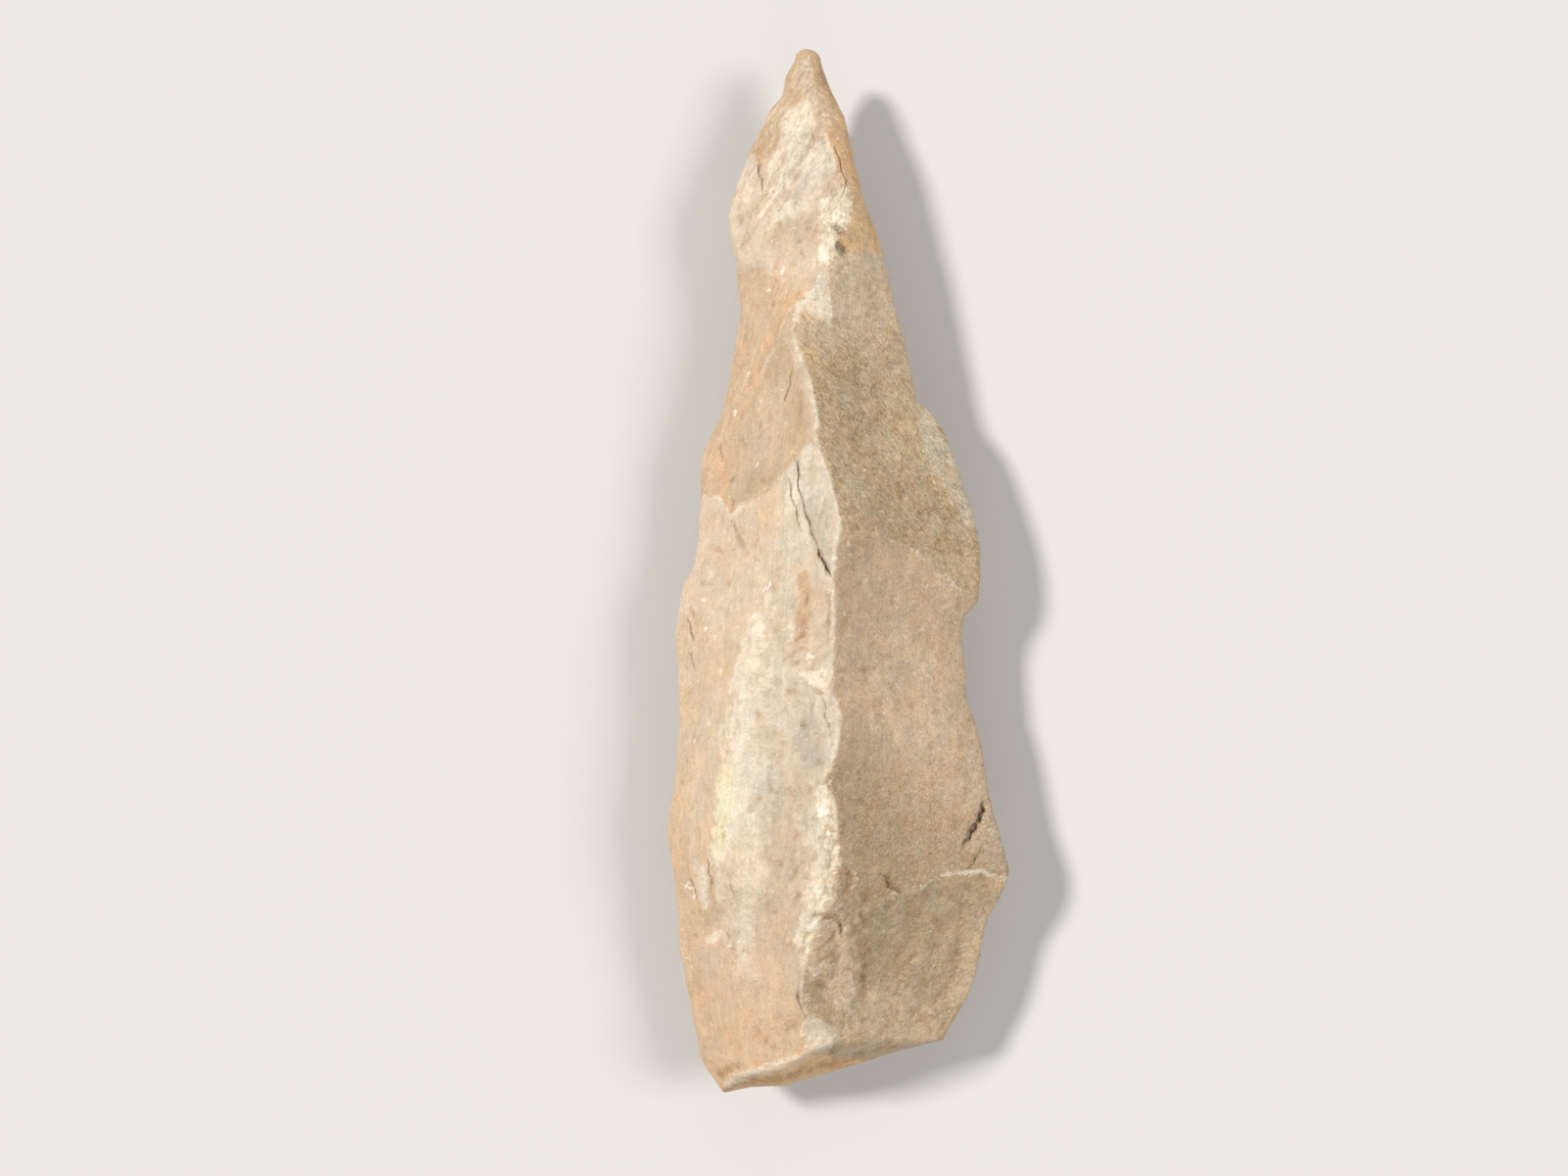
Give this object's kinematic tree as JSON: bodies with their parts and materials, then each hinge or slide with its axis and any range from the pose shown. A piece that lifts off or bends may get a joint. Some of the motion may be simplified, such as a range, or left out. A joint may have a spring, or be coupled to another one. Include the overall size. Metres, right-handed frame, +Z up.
{
  "type": "stone hand axe",
  "caption": "Long pointed stone hand axe, knapped to a ridged upper face with an irregular cutting edge, a drawn-out tip, a thick slanted butt and a flatter underside it lies on.",
  "frame": {"origin": "middle of the bounding box, on the plane the axe lies on", "axes": "+Y from the butt to the tip, +Z up out of the ridged face, +X to the right of the ridged face with the tip pointing away"},
  "size_m": [0.0918, 0.28, 0.0454],
  "materials": {
    "stone": "fine-grained weathered stone, matt, pale buff to pinkish brown"
  },
  "bodies": {
    "root": {"hand_axe": "stone"}
  },
  "joints": []
}
